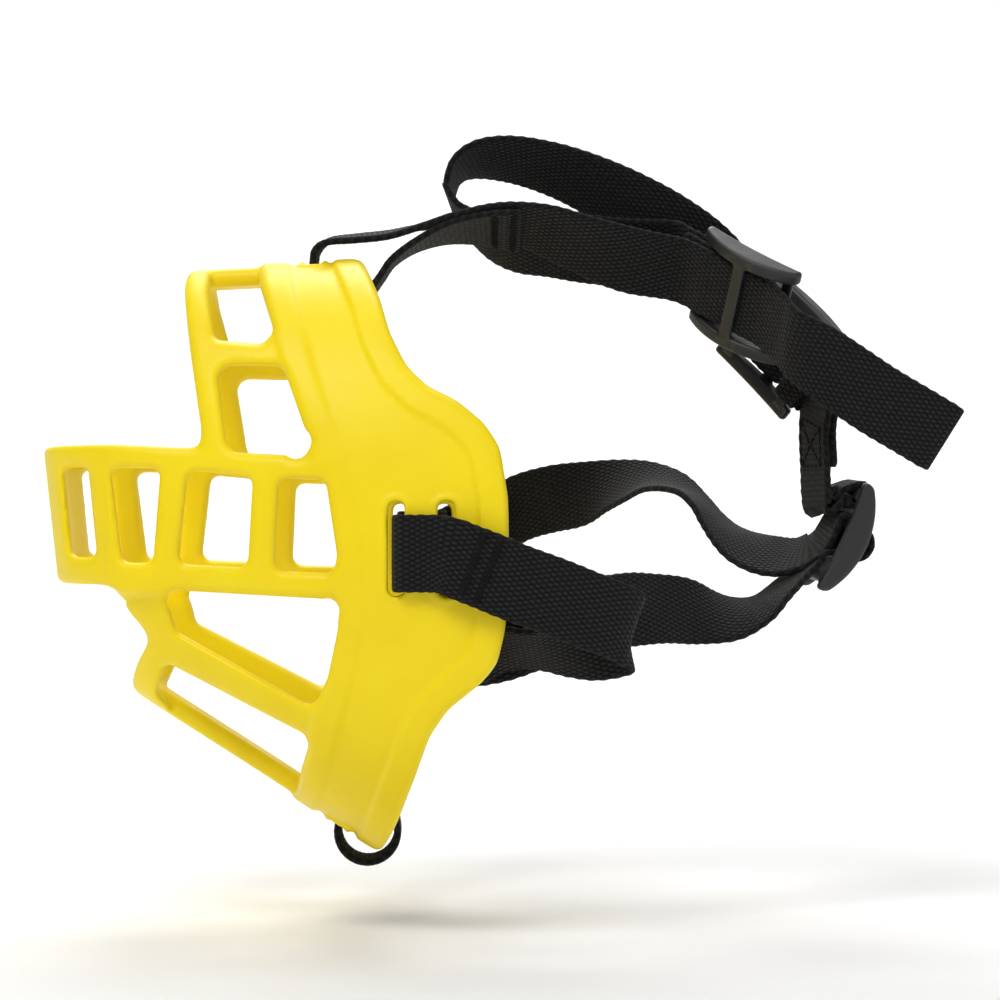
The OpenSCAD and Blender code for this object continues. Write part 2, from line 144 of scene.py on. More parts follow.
def level_surface(field, low, step):
    """Points and quads of the field's zero level: one point in each cell that the level crosses."""
    shape = np.array(field.shape) - 1
    strides = np.array([shape[1] * shape[2], shape[2], 1])
    cells, crossings, quads = [], [], []
    for axis in range(3):
        first = np.take(field, range(field.shape[axis] - 1), axis)
        second = np.take(field, range(1, field.shape[axis]), axis)
        at = np.argwhere((first < 0) != (second < 0))
        others = [k for k in range(3) if k != axis]
        at = at[(at[:, others] > 0).all(1) & (at[:, others] < shape[others]).all(1)]
        a, b = first[tuple(at.T)], second[tuple(at.T)]
        crossing = at.astype(float)
        crossing[:, axis] += a / (a - b)
        corner = []
        for back in ((0, 0), (1, 0), (1, 1), (0, 1)):
            cell = at.copy()
            cell[:, others[0]] -= back[0]
            cell[:, others[1]] -= back[1]
            corner.append(cell @ strides)
            cells.append(corner[-1])
            crossings.append(crossing)
        quad = np.stack(corner, axis=1)
        turned = (a < 0) != (axis == 1)
        quads.append(np.where(turned[:, None], quad, quad[:, ::-1]))
    cells, crossings, quads = np.concatenate(cells), np.concatenate(crossings), np.concatenate(quads)
    used, index = np.unique(cells, return_inverse=True)
    count = np.bincount(index)
    points = np.stack([np.bincount(index, crossings[:, k]) / count for k in range(3)], axis=1)
    return np.array(low) + points * step, np.searchsorted(used, quads)


def grid(low, high, step):
    axes = [np.arange(low[k], high[k] + step, step, dtype=np.float32) for k in range(3)]
    return axes[0][:, None, None], axes[1][None, :, None], axes[2][None, None, :]


# ---------- distances: negative inside a shape ----------
def smooth_step(value, start, end):
    t = np.clip((value - start) / (end - start), 0, 1)
    return t * t * (3 - 2 * t)


def round_max(a, b, radius):
    """What is in both shapes, with the edge between them rounded."""
    return np.minimum(-radius, np.maximum(a, b)) + np.hypot(
        np.maximum(a + radius, 0), np.maximum(b + radius, 0))


def soft_min(a, b, reach):
    """What is in either shape, with a fillet where they meet."""
    mix = np.maximum(reach - np.abs(a - b), 0) / reach
    return np.minimum(a, b) - mix * mix * reach / 4


def polygon_distance(points, x, z):
    points = np.asarray(points, float)
    nearest = np.full(np.broadcast(x, z).shape, np.inf)
    inside = np.zeros(nearest.shape, bool)
    for (ax, az), (bx, bz) in zip(points, np.roll(points, -1, axis=0)):
        ex, ez = bx - ax, bz - az
        t = np.clip(((x - ax) * ex + (z - az) * ez) / (ex * ex + ez * ez), 0, 1)
        nearest = np.minimum(nearest, np.hypot(x - ax - t * ex, z - az - t * ez))
        if az != bz:
            inside ^= ((az > z) != (bz > z)) & (x < ex * (z - az) / ez + ax)
    return np.where(inside, -nearest, nearest)


def rounded_polygon(points, radius, x, z):
    """A polygon whose corners are rounded: a smaller one, grown again."""
    points = np.asarray(points, float)
    ahead = np.roll(points, -1, axis=0)
    area = (points[:, 0] * ahead[:, 1] - ahead[:, 0] * points[:, 1]).sum()
    edge = unit(ahead - points) * np.sign(area)
    inward = np.stack([-edge[:, 1], edge[:, 0]], axis=1)
    before = np.roll(inward, 1, axis=0)
    corners = points + radius * (inward + before) / (1 + (inward * before).sum(1))[:, None]
    return polygon_distance(corners, x, z) - radius


def box_distance(x, z, half_x, half_z, radius):
    dx, dz = np.abs(x) - half_x + radius, np.abs(z) - half_z + radius
    return np.hypot(np.maximum(dx, 0), np.maximum(dz, 0)) + np.minimum(np.maximum(dx, dz), 0) - radius


def blurred(values, reach):
    """Softens a flat field, which rounds the corners of its outline."""
    half = int(3 * reach)
    weights = np.exp(-0.5 * (np.arange(-half, half + 1) / reach) ** 2)
    weights /= weights.sum()
    for axis in (0, 1):
        padded = np.pad(values, [(half, half) if k == axis else (0, 0) for k in (0, 1)], mode="edge")
        values = np.apply_along_axis(np.convolve, axis, padded, weights, "valid")
    return values


# ---------- basket ----------
WALL = 3.8
NOSE_REACH = 68.3
BEAD_RISE = 0.7
RIM_BEAD_W = 5.8
RIDGE_W = 5.2
RIM_RISE = 1.15            # of the rim's bead, in bead rises
RIDGE_LOW_RISE = 0.35      # of the ridge beside the cheeks, in bead rises
BOSS_RISE = 0.5            # round the cheek slots, in bead rises
SPINE_W = 10
SLOT_W = 3.3
SLOT_DEPTH = 8             # how far from its middle a webbing slot cuts
SLOT_EDGE_R = 0.5
CHEEK_SLOT_H = 18.4
CHEEK_SLOT_XS = (5.1, 14.8)
CHEEK_SLOT_Z = 1.3
CROSS_SLOT_L = 17.5
EDGE_R = 1.75
CORNER_SHARE = 1.25        # how much rounder a window's corners look, with their edges rounded too
NOSE_BAR_SUNK = 1.2        # how far the nose's bars stand back from its rings, in bead rises
OUTLINE_BLUR = 1.1         # how widely the outline's corners are rounded
FILLET = 3                 # where the nose meets the tube
SECTION_POWER = 2.15       # of the tube's superellipse: 2 is an ellipse
LEAST_SLOPE = 0.012        # keeps distances finite at the tube's middle
# The oval tube of band and cage: x, half width, top z, bottom z
TUBE_SLICES = [[-51, 26, 56, -27.5], [-45, 29, 57.6, -31.5], [-38, 31.5, 58.5, -36],
               [-23, 37.5, 59.3, -45.6], [-6, 42, 60.2, -56.6], [10, 44, 61.5, -66],
               [30, 45, 63, -76]]
TUBE_FRONT_X = -51
OPEN_PAST = 2              # how far the hollow runs on past an open end
REAR_EDGE = [[-2.8, 62], [1.6, 51.4], [3.7, 44], [7, 37.2], [11, 33.2], [17, 30.2], [22.2, 25.8],
             [25.3, 21], [26.8, 11], [26.9, 3], [26.3, -14], [24.7, -21], [21.6, -24.8], [15.2, -30],
             [11.6, -35.4], [9, -43], [5, -54], [0.9, -63]]
FRONT_EDGE = [[-20, -70], [-50, -48], [-50, -27.2], [-47.4, -21.6], [-44.6, -17.4], [-45.6, -15],
              [-49, -11.2], [-51.4, -7.2], [-53, -6.2], [-72, -6.2], [-72, 22], [-53, 22],
              [-33.6, 21], [-33.4, 24.4], [-36.6, 43], [-38.4, 54], [-38.6, 70]]
RIDGE_LINE = [[-18.2, 62], [-14.6, 48], [-11.2, 35.7], [-5.2, 18.5], [-1.9, 3], [-1.7, -13.5],
              [-4.3, -26.3], [-8.8, -42.5], [-13, -56]]
SIDE_WINDOWS = [
    ([[-30.6, 37.5], [-17.4, 37.3], [-11.6, 21.4], [-12.6, 19.4], [-27, 20.2], [-28.4, 22]], 2.2),
    ([[-62.4, 17.4], [-56.8, 17.4], [-55, -0.6], [-60.6, -0.6]], 1.2),
    ([[-51.8, 17.2], [-41.6, 17], [-43.2, -1.6], [-49.4, -1.6]], 1.4),
    ([[-36, 16.6], [-23, 15.4], [-24, -2.4], [-38, -1.8]], 1.6),
    ([[-17.8, 15], [-8.6, 14.6], [-6.4, 0], [-7, -3.4], [-18.6, -3]], 1.6),
    ([[-41, -7], [-7, -8.6], [-6, -10], [-6.4, -15], [-8.3, -23.8], [-11, -30.2],
      [-38.8, -15.3]], 1.8)]
SPINE_WINDOWS = [
    ([[-33.6, 60], [-33.2, 52], [-31.2, 42.8], [-21.6, 41.8], [-19.4, 44.3], [-22.8, 54],
      [-24, 60]], 1.8),
    ([[-41.6, -21.6], [-13.2, -35.6], [-12.4, -37.8], [-14, -42.6], [-16, -50], [-40, -34],
      [-44, -28]], 1.8)]
NOSE_X = -38
RING_TOP_Z = 22
RING_BOTTOM_Z = -6.2
RING_PAST = 1              # how far the nose's wall runs past its rings, before the outline cuts it
NOSE_DRAW = 3.2            # how far the nose's front draws back at its bottom
NOSE_NARROW = 0.03         # the share by which it narrows there
TOP_SLOT = [-12.4, 60]
BOTTOM_SLOT = [-7.6, -55.8]
BOTTOM_TILT = math.radians(27)
FAR = 120


def tube_distance(x, y, z):
    """Distance to the tube, with a superellipse as its section."""
    size = smooth_rows(TUBE_SLICES, 12)
    half_w, top, bottom = (np.interp(x, size[:, 0], size[:, k]) for k in (1, 2, 3))
    ratio = (np.abs(y / half_w) ** SECTION_POWER
             + np.abs((2 * z - top - bottom) / (top - bottom)) ** SECTION_POWER) ** (1 / SECTION_POWER)
    slope = np.gradient(ratio)
    step = float(x[1, 0, 0] - x[0, 0, 0])
    steepness = np.sqrt(sum(s * s for s in slope)) / step
    return (ratio - 1) / np.maximum(steepness, LEAST_SLOPE)


def nose_distance(x, y, z):
    """Distance to the nose, half round in plan and drawing in towards the chin."""
    radius = NOSE_REACH + NOSE_X
    down = np.clip((RING_TOP_Z - z) / (RING_TOP_Z - RING_BOTTOM_Z + RING_PAST), 0, 1)
    wide_x = 1 - down * NOSE_DRAW / radius
    wide_y = 1 - down * NOSE_NARROW
    return (np.hypot((x - NOSE_X) / wide_x, y / wide_y) - radius) * wide_x


def slot_distance(x, y, z, at, tilt):
    """Distance in plan to a webbing slot across the band, and how far along it a point is."""
    dx, dz = x - at[0], z - at[1]
    across = dx * math.cos(tilt) - dz * math.sin(tilt)
    depth = dx * math.sin(tilt) + dz * math.cos(tilt)
    return box_distance(across, y, SLOT_W / 2, CROSS_SLOT_L / 2, 0.8), depth


def basket_field(x, y, z):
    """Distance to the basket: an outer and an inner skin, less the outline, windows and slots."""
    side_x, side_z = x[:, 0], z[0]
    step = float(x[1, 0, 0] - x[0, 0, 0])
    side = blurred(polygon_distance(REAR_EDGE + FRONT_EDGE, side_x, side_z), OUTLINE_BLUR / step)
    for points, radius in SIDE_WINDOWS:
        side = np.maximum(side, -rounded_polygon(points, CORNER_SHARE * radius, side_x, side_z))
    spine = np.full(side.shape, np.inf)
    for points, radius in SPINE_WINDOWS:
        spine = np.minimum(spine, rounded_polygon(points, radius, side_x, side_z))
    in_front = [[-2.8, FAR], *REAR_EDGE, [0.9, -FAR], [-FAR, -FAR], [-FAR, FAR]]
    from_rim = -blurred(polygon_distance(in_front, side_x, side_z), OUTLINE_BLUR / step)
    behind = [*RIDGE_LINE, [FAR, -FAR], [FAR, FAR]]
    from_ridge = blurred(polygon_distance(behind, side_x, side_z), OUTLINE_BLUR / step)
    cheek_slots = np.minimum(*(
        box_distance(side_x - at, side_z - CHEEK_SLOT_Z, SLOT_W / 2, CHEEK_SLOT_H / 2, 1.5)
        for at in CHEEK_SLOT_XS))

    # How far each bead and boss stands out, in bead rises
    rim = RIM_RISE * (1 - smooth_step(from_rim, RIM_BEAD_W - 0.3, RIM_BEAD_W + 0.5))
    past_ridge = smooth_step(from_ridge, RIDGE_W - 0.5, RIDGE_W + 0.9)
    above_or_below = smooth_step(side_z, 16, 42) + 1 - smooth_step(side_z, -34, -12)
    ridge = smooth_step(from_ridge, -0.9, 0.5) * (1 - past_ridge)
    ridge = ridge * (RIDGE_LOW_RISE + (1 - RIDGE_LOW_RISE) * above_or_below)
    boss = BOSS_RISE * (1 - smooth_step(cheek_slots, 0.9, 1.6))
    at_nose = 1 - smooth_step(side_x, -52, -44)
    between_rings = smooth_step(side_z, -1.6, -0.2) * (1 - smooth_step(side_z, 16.8, 18.2))
    relief = np.maximum(np.maximum(rim, ridge), boss) - NOSE_BAR_SUNK * at_nose * between_rings
    relief = relief[:, None, :]
    top_slot, top_depth = slot_distance(x, y, z, TOP_SLOT, 0)
    bottom_slot, bottom_depth = slot_distance(x, y, z, BOTTOM_SLOT, BOTTOM_TILT)
    for slot, depth in ((top_slot, top_depth), (bottom_slot, bottom_depth)):
        lip = (1 - smooth_step(slot, 1.0, 1.8)) * (np.abs(depth) < SLOT_DEPTH)
        relief = np.maximum(relief, lip)

    tube = tube_distance(x, y, z)
    nose = nose_distance(x, y, z)
    nose_ends = np.maximum(RING_BOTTOM_Z - RING_PAST - z, z - RING_TOP_Z - RING_PAST)
    outer = soft_min(np.maximum(tube, TUBE_FRONT_X - x), np.maximum(nose, nose_ends), FILLET)
    outer = outer - BEAD_RISE * relief
    open_tube = np.maximum(tube, TUBE_FRONT_X - OPEN_PAST - x)
    open_nose = np.maximum(nose, nose_ends - WALL - OPEN_PAST)
    inner = soft_min(open_tube, open_nose, FILLET) + WALL
    field = np.maximum(outer, -inner)
    field = round_max(field, side[:, None, :], EDGE_R)
    field = round_max(field, -np.maximum(spine[:, None, :], SPINE_W / 2 - np.abs(y)), EDGE_R)
    field = round_max(field, -cheek_slots[:, None, :], SLOT_EDGE_R)
    for slot, depth in ((top_slot, top_depth), (bottom_slot, bottom_depth)):
        field = round_max(field, -np.maximum(slot, np.abs(depth) - SLOT_DEPTH), SLOT_EDGE_R)
    return field


def make_basket():
    step = 0.62
    low, high = (-71, -49, -68), (30, 49, 66)
    x, y, z = grid(low, high, step)
    points, quads = level_surface(basket_field(x, y, z), low, step)
    return make_mesh("basket_moulding", points, quads)


# ---------- three-bar sliders ----------
SLIDER_L = 24
RAIL_T = 2.8
RAIL_MID = [-1.9, 3.4]     # a rail's lower and upper edge at its middle
RAIL_TIP = [-2.7, -0.5]    # and at its tips
BAR_T = 1.2
END_BAR_AT = SLIDER_L / 2 - 2.8
END_BAR_W = 2.4
MID_BAR_W = 2.8
WEB_W = 15
WEB_T = 1.4
RAIL_GAP = WEB_W + 1.4
OVERHEAD = frame_of([76, -4, 53], [0.73, -0.5, -0.46], [-0.16, 0.58, -0.8])
LOOP = frame_of([86.8, 9.3, 43.6], [0.53, -0.54, -0.65], [0.54, -0.3, 0.79])
NECK = frame_of([97.5, 0, 3.1], [-0.41, 0, -0.91], [0.1, -1, 0])


def arc_radius(rise):
    """Of an arc as long as a slider, which rises this much to its middle."""
    return ((SLIDER_L / 2) ** 2 + rise * rise) / (2 * rise)


def slider_field(along, across, out):
    """Distance to two arched rails and the three bars between them."""
    top_r = arc_radius(RAIL_MID[1] - RAIL_TIP[1])
    low_r = arc_radius(RAIL_MID[0] - RAIL_TIP[0])
    arch = np.maximum(np.hypot(along, out - RAIL_MID[1] + top_r) - top_r,
                      low_r - np.hypot(along, out - RAIL_MID[0] + low_r))
    arch = round_max(arch, np.abs(along) - SLIDER_L / 2, 0.9)
    thick = np.abs(np.abs(across) - (RAIL_GAP + RAIL_T) / 2) - RAIL_T / 2
    field = round_max(arch, thick, 0.75)
    reach = np.abs(across) - RAIL_GAP / 2 - 1
    bars = [(0, MID_BAR_W, RAIL_MID[1] - BAR_T),
            (-END_BAR_AT, END_BAR_W, RAIL_TIP[0]),
            (END_BAR_AT, END_BAR_W, RAIL_TIP[0])]
    for at, width, low in bars:
        bar = box_distance(along - at, out - low - BAR_T / 2, width / 2, BAR_T / 2, 0.55)
        field = soft_min(field, np.maximum(bar, reach), 0.7)
    return field


def make_slider(name, f, body):
    step = 0.24
    low, high = (-13.2, -12.2, -4), (13.2, 12.2, 4.6)
    points, quads = level_surface(slider_field(*grid(low, high, step)), low, step)
    points = f[0] + points[:, :1] * f[1] + points[:, 1:2] * f[2] + points[:, 2:] * f[3]
    piece = make_mesh(name + "_moulding", points, quads[:, ::-1])
    return finish_piece(piece, plastic, [name], body)


# ---------- routes, as in the CAD source: x, y, z, then the way across ----------
TAIL_BEFORE = [90.5, -19, 39.2, -0.4, 0.42, -0.81]
TAIL_START = [96, -20.4, 35.2, -0.45, 0.37, -0.81]
TAIL_AFTER = [102, -21.5, 31, -0.46, 0.35, -0.81]
OVERHEAD_ROUTE = [
    [30.4, -0.8, 67, 0, 0.87, -0.5], [24, -0.5, 67.5, 0, 0.93, -0.36],
    [16, -0.2, 66.8, 0, 0.98, -0.2], [9, 0, 64.2, 0, 1, -0.05], [4, 0, 60.8, 0, 1, 0],
    [1.4, 0, 57.2, 0, 1, 0], [-1.2, 0, 54, 0, 1, 0], [-5, 0, 53.2, 0, 1, 0],
    [-9.7, 0, 53.2, 0, 1, 0], [-12.2, 0, 55.8, 0, 1, 0], [-12.4, 0, 60.2, 0, 1, 0],
    [-11.8, 0, 63, 0, 1, 0.05], [-9.2, 0, 64.9, 0, 1, 0.12], [-4, 0, 65.5, 0, 1, 0.15],
    [3, 0, 66.3, 0, 1, 0.15], [10, 0, 68, 0, 1, 0.08], [16, 0.1, 68.9, 0, 0.98, -0.1],
    [24, 0.2, 69.1, 0, 0.93, -0.36], [30.4, 0, 68.6, 0, 0.87, -0.5],
    [37, -0.4, 66.8, 0, 0.74, -0.67], [45, -0.6, 63.8, -0.1, 0.66, -0.75],
    [54, 0.8, 61, -0.25, 0.5, -0.83],
    *(in_frame(OVERHEAD, *p) for p in ((-15, 1.9), (-8, 1.3), (-2, 1.2), (3, 1.2), (7.4, 1.3),
                                       (12.9, 3.1), (17.6, 5.4))),
    TAIL_BEFORE, TAIL_START, TAIL_AFTER,
    [109, -22.6, 26.7, -0.46, 0.35, -0.81], [115.4, -23.4, 22.8, -0.46, 0.35, -0.81]]
LOOP_TURN = [15.6, 18, 76.8, 0.1, 0.98, -0.15]
LOOP_OUT_ROUTE = [
    in_frame(OVERHEAD, -17, -1.3), in_frame(OVERHEAD, -13.5, -0.9),
    *round_bar(OVERHEAD, -END_BAR_AT, -2, [2.3, 1.5], 80, -80),
    in_frame(OVERHEAD, -13.5, -3.2), in_frame(OVERHEAD, -17, -3),
    in_frame(OVERHEAD, -20.2, -3.2), [59.4, 9.2, 63.7, -0.15, 0.48, -0.86],
    [55, 8.4, 63.4, -0.1, 0.38, -0.92], [50, 8, 63.6, -0.1, 0.36, -0.93],
    [44, 7.6, 64.2, 0, 0.36, -0.93], [37, 8.4, 65, 0, 0.5, -0.86], [30, 10.4, 65.6, 0, 0.64, -0.77],
    [24, 13, 67.4, 0.1, 0.8, -0.6], [18.6, 16, 71.4, 0.1, 0.94, -0.3], LOOP_TURN]
LOOP_BACK_ROUTE = [
    LOOP_TURN, [17.2, 18.6, 81.6, 0.1, 0.96, -0.2], [22, 18, 84, 0.1, 0.9, -0.4],
    [29, 16.4, 84, 0.1, 0.82, -0.57], [37, 14.6, 82, 0, 0.74, -0.67],
    [45, 13, 78.8, -0.2, 0.66, -0.72], [54, 12, 74.2, -0.35, 0.5, -0.78],
    [63, 12.4, 69, -0.45, 0.38, -0.8], [71, 14.2, 63, -0.54, 0.34, -0.77],
    *(in_frame(LOOP, *p, -1) for p in ((-14, 1.6), (-9.2, 1.3), (-4, 0.8), (0, 1), (2, 1.9),
                                       (2.4, 3.1), (1.7, 4.2), (0, 4.7), (-3, 4.6), (-7.5, 3.8)))]
CONNECTOR_ROUTE = [
    [93.7, 0.3, 18, -0.22, 0.95, -0.2], [93.4, 0.2, 25, -0.22, 0.94, -0.25],
    [93.8, -0.3, 31, -0.3, 0.85, -0.42], in_frame(LOOP, 14.4, -1.2, -1),
    *round_bar(LOOP, END_BAR_AT, -2, [2.3, 1.7], 80, 280, -1), in_frame(LOOP, 14.4, -2.8, -1),
    [92.2, -1.4, 31, -0.3, 0.85, -0.42], [91.8, -0.2, 25, -0.22, 0.94, -0.25],
    [92.1, 0, 18, -0.22, 0.95, -0.2], [92.3, 0, 12.6, -0.22, 0.95, -0.2],
    [92.7, 0, 9.2, -0.18, 0.97, -0.1], [94.6, -0.1, 9.2, -0.12, 0.99, 0],
    *round_bar(NECK, -END_BAR_AT, -2, [2.4, 2.2], 300, 540, -1),
    [96.4, 0, 13.2, -0.12, 0.99, 0], [94.8, 0.1, 11.4, -0.15, 0.98, -0.1],
    [94.1, 0.2, 13.4, -0.2, 0.97, -0.16]]


def cheek_loop(side, z, slope):
    """Round a cheek's bridge, from the sewn end under the strap to where the strap leaves."""
    turns = [[26.4, 46.9], [21, 46.5], [17.4, 45.8], [15.1, 44.6], [14.8, 42.3], [14.3, 39.9],
             [12.4, 38.6], [9.8, 38.3], [7.4, 38.3], [5.4, 39.4], [5.1, 41.6], [5.1, 43.9],
             [6.4, 45.3], [9, 45.5], [12, 46.1], [15, 47.2], [18.5, 47.9], [22.5, 48.3]]
    return [[x, side * y, z + slope * max(0, x - 14), 0, 0, 1] for x, y in turns]


NECK_ROUTE = [
    *cheek_loop(1, 1.3, 0.43),
    [27.5, 48.2, 7.4, 0, 0, 1], [33, 45.4, 10, 0, 0, 1], [39, 42.6, 11.6, 0, 0, 1],
    [45, 39.6, 12.6, 0.1, 0.2, 0.97], [51, 36, 14.2, 0.32, 0.48, 0.82],
    [57, 31.4, 15.2, 0.54, 0.6, 0.59], [62.6, 26.6, 15, 0.69, 0.69, 0.22],
    [68, 21.6, 12.2, 0.6, 0.79, -0.13], [71.2, 18.2, 9, 0.54, 0.82, -0.17],
    [74.4, 14.6, 5.2, 0.64, 0.77, -0.05], [80, 8.2, 0.8, 0.72, 0.61, 0.32],
    [85.6, 3.8, -0.9, 0.44, 0.74, 0.49], [90.4, 0.8, 0.4, 0, 0.93, 0.37],
    [93.8, 0.3, 3, -0.1, 0.98, 0.15],
    *(in_frame(NECK, *p, -1) for p in ((-4.2, -2.8), (-3.6, 0.2), (-3, 3), (-1.9, 4.5), (0, 5.1),
                                       (1.9, 4.5), (3, 3), (3.6, 0.2), (4.2, -2.8))),
    [91.4, -0.2, -1.5, -0.2, 0.98, -0.03], [87.2, -2.2, -5.2, -0.31, 0.94, -0.09],
    [82.3, -5.2, -9.1, -0.41, 0.91, -0.05], [77.7, -7.5, -11.5, -0.49, 0.83, 0.27],
    [71.6, -10.5, -12.5, -0.33, 0.66, 0.68], [64.6, -14, -11.6, -0.12, 0.43, 0.89],
    [57.7, -18, -11, -0.12, 0.34, 0.93], [51, -22.4, -11.2, 0, 0.15, 0.98],
    [42, -27.4, -12.6, 0, 0, 1], [34, -28.8, -14.8, 0, 0, 1], [26, -29.2, -17.6, 0, 0, 1],
    [19.6, -29.2, -18.8, 0, 0, 1], [15.4, -29.8, -19, 0, 0, 1], [14, -31.2, -19, 0, 0, 1],
    [15.4, -32.6, -19, 0, 0, 1], [20, -33.2, -18.6, 0, -0.3, 0.95], [26, -34, -18.6, 0, -0.74, 0.67],
    [32, -35, -18.6, 0, -0.84, 0.54], [38, -36, -18.4, 0, -0.65, 0.76],
    [43, -36.6, -17.8, 0, -0.35, 0.93], [47, -37, -16.8, 0.1, -0.1, 0.99],
    [50, -38.2, -15.6, 0.24, 0, 0.97], [50.6, -40.8, -14.4, 0.24, 0, 0.97],
    [48.4, -43, -12.9, 0.1, 0, 0.99],
    [43, -45.2, -10.8, 0, 0, 1], [35.5, -47.2, -7.8, 0, 0, 1], [28, -48.2, -5.1, 0, 0, 1],
    *reversed(cheek_loop(-1, 0.4, -0.38))]


# ---------- webbing ----------
TAPE_W = 12
PICK = 1.1                 # from one row of the weave to the next, along the webbing
END = 0.52                 # from one column of the weave to the next, across it
WEAVE_DEPTH = 0.1
EDGE_RIB = 0.09            # height of the ribs along both edges
END_THIN, END_NARROW = 0.35, 0.06      # how much a sealed end thins and narrows
UNDERSIDE = 100.0          # added to the way across, to mark the under face for the material


def weave(u, v):
    """Height of a plain weave, from -1 to 1."""
    return np.sin(math.pi * u / PICK) * np.sin(math.pi * v / END)


def band_profile(width, columns):
    """Points round a section of webbing, the way off its face at each, and what is an edge."""
    flat = width / 2 - WEB_T / 2
    v = np.linspace(-flat, flat, columns)
    turn = np.radians([60, 25, -10, -45])
    right = np.stack([flat + WEB_T / 2 * np.cos(turn), WEB_T / 2 * np.sin(turn)], axis=1)
    top = np.stack([v, np.full(columns, WEB_T / 2)], axis=1)
    loop = np.vstack([top, right, -top, -right])
    none, up = np.zeros(columns), np.ones(columns)
    way = np.vstack([np.stack([none, up], axis=1), np.stack([np.cos(turn), np.sin(turn)], axis=1),
                     np.stack([none, -up], axis=1), -np.stack([np.cos(turn), np.sin(turn)], axis=1)])
    is_edge = np.concatenate([none, np.ones(4), none, np.ones(4)])
    return loop, way, is_edge


def make_webbing(name, strap):
    """Woven webbing along a strap, with raised crossings and ribbed edges."""
    columns = 38
    loop, way, is_edge = band_profile(strap.width, columns)
    u, v = strap.u[:, None], loop[None, :, 0]
    face = np.sign(loop[:, 1])[None, :]
    from_end = np.minimum(u, strap.length - u)
    crossings = WEAVE_DEPTH * weave(u + 0.5 * PICK * face, v)
    height = crossings * (1 - is_edge) * smooth_step(from_end, 0.4, 2.6)
    height = height + EDGE_RIB * np.sin(math.pi * u / PICK) * is_edge
    thin = 1 - END_THIN * (1 - smooth_step(from_end, 0, 0.9))
    narrow = 1 - END_NARROW * (1 - np.sqrt(np.clip(from_end / 1.4, 0, 1)))
    across = (loop[None, :, 0] + height * way[None, :, 0]) * narrow
    out = (loop[None, :, 1] + height * way[None, :, 1]) * thin
    points = (strap.place[:, None] + across[..., None] * strap.across[:, None]
              + out[..., None] * strap.out[:, None])
    rows, around = points.shape[:2]
    index = np.arange(rows * around).reshape(rows, around)
    ahead = np.roll(index, -1, axis=1)
    quads = np.stack([index[:-1], index[1:], ahead[1:], ahead[:-1]], axis=-1).reshape(-1, 4)
    faces = quads.tolist()
    half = around // 2
    for row, turned in ((0, False), (rows - 1, True)):
        ring = index[row].tolist()
        for k in range(half - 1):
            quad = [ring[k], ring[k + 1], ring[around - 2 - k], ring[around - 1 - k]]
            faces.append(quad[::-1] if turned else quad)
    spread = np.broadcast_to(strap.u[:, None], (rows, around)).ravel()
    sideways = np.broadcast_to(loop[:, 0] + UNDERSIDE * (loop[:, 1] < 0), (rows, around)).ravel()
    edge = np.broadcast_to(is_edge, (rows, around)).ravel()
    return make_mesh(name, points.reshape(-1, 3), faces,
                     {"along": spread, "across": sideways, "edge": edge})


# ---------- thread ----------
THREAD_R = 0.21
ZIGZAG_PITCH = 0.42
ZIGZAG_RISE = 0.12         # how far a zigzag's thread stands out of the face, and sinks into it
SEWN = WEB_W - 2.2         # length of a bar tack across the webbing


def tube(points, radius, sides=7):
    """A closed tube through points."""
    points = np.asarray(points, float)
    along = unit(np.gradient(points, axis=0))
    first = unit(np.cross(along[0], [0.3, 0.5, 0.8]))
    rings = []
    for place, way in zip(points, along):
        first = unit(first - (first @ way) * way)
        second = np.cross(way, first)
        turns = 2 * math.pi * np.arange(sides) / sides
        rings.append(place + radius * (np.cos(turns)[:, None] * first + np.sin(turns)[:, None] * second))
    rings[0] = points[0] + (rings[0] - points[0]) * 0.5
    rings[-1] = points[-1] + (rings[-1] - points[-1]) * 0.5
    faces = []
    for k in range(len(rings) - 1):
        for j in range(sides):
            a, b = k * sides + j, k * sides + (j + 1) % sides
            faces.append([a, b, b + sides, a + sides])
    last = sides * (len(rings) - 1)
    faces.append(list(range(sides))[::-1])
    faces.append([last + j for j in range(sides)])
    return np.vstack(rings), faces


def make_thread(name, runs):
    points, faces, count = [], [], 0
    for run in runs:
        tube_points, tube_faces = tube(run, THREAD_R)
        points.append(tube_points)
        faces += [[i + count for i in face] for face in tube_faces]
        count += len(tube_points)
    return make_mesh(name, np.vstack(points), faces)


def bar_tack(strap, u, face, length, width):
    """Close zigzag stitches across the webbing, lying on one face of it."""
    count = int(length / ZIGZAG_PITCH)
    run = []
    for k in range(count + 1):
        v = -length / 2 + length * k / count
        lean = width / 2 * (1 if k % 2 else -1)
        run.append(strap.at(u + lean * 1.1, v, face * (WEB_T / 2 - ZIGZAG_RISE)))
        run.append(strap.at(u + lean * 0.5, v + 0.1, face * (WEB_T / 2 + ZIGZAG_RISE)))
        run.append(strap.at(u - lean * 0.5, v + 0.3, face * (WEB_T / 2 + ZIGZAG_RISE)))
    return run


def bar_tacks(strap, u, apart, length=SEWN, width=1.5):
    """Bar tacks this far to either side of u, on both faces."""
    return [bar_tack(strap, u + k, face, length, width) for k in (-apart, apart) for face in (1, -1)]


def stitch_line(strap, start, end, face, pitch=2.4):
    """Single stitches from one place to another on the webbing's face, each sunk at its ends."""
    start, end = np.array(start, float), np.array(end, float)
    count = max(2, round(np.linalg.norm(end - start) / pitch))
    runs = []
    for k in range(count):
        run = []
        for t, rise in ((0.04, -0.25), (0.15, 0.08), (0.5, 0.2), (0.85, 0.08), (0.96, -0.25)):
            u, v = start + (end - start) * (k + t) / count
            run.append(strap.at(u, v, face * (WEB_T / 2 + rise)))
        runs.append(run)
    return runs


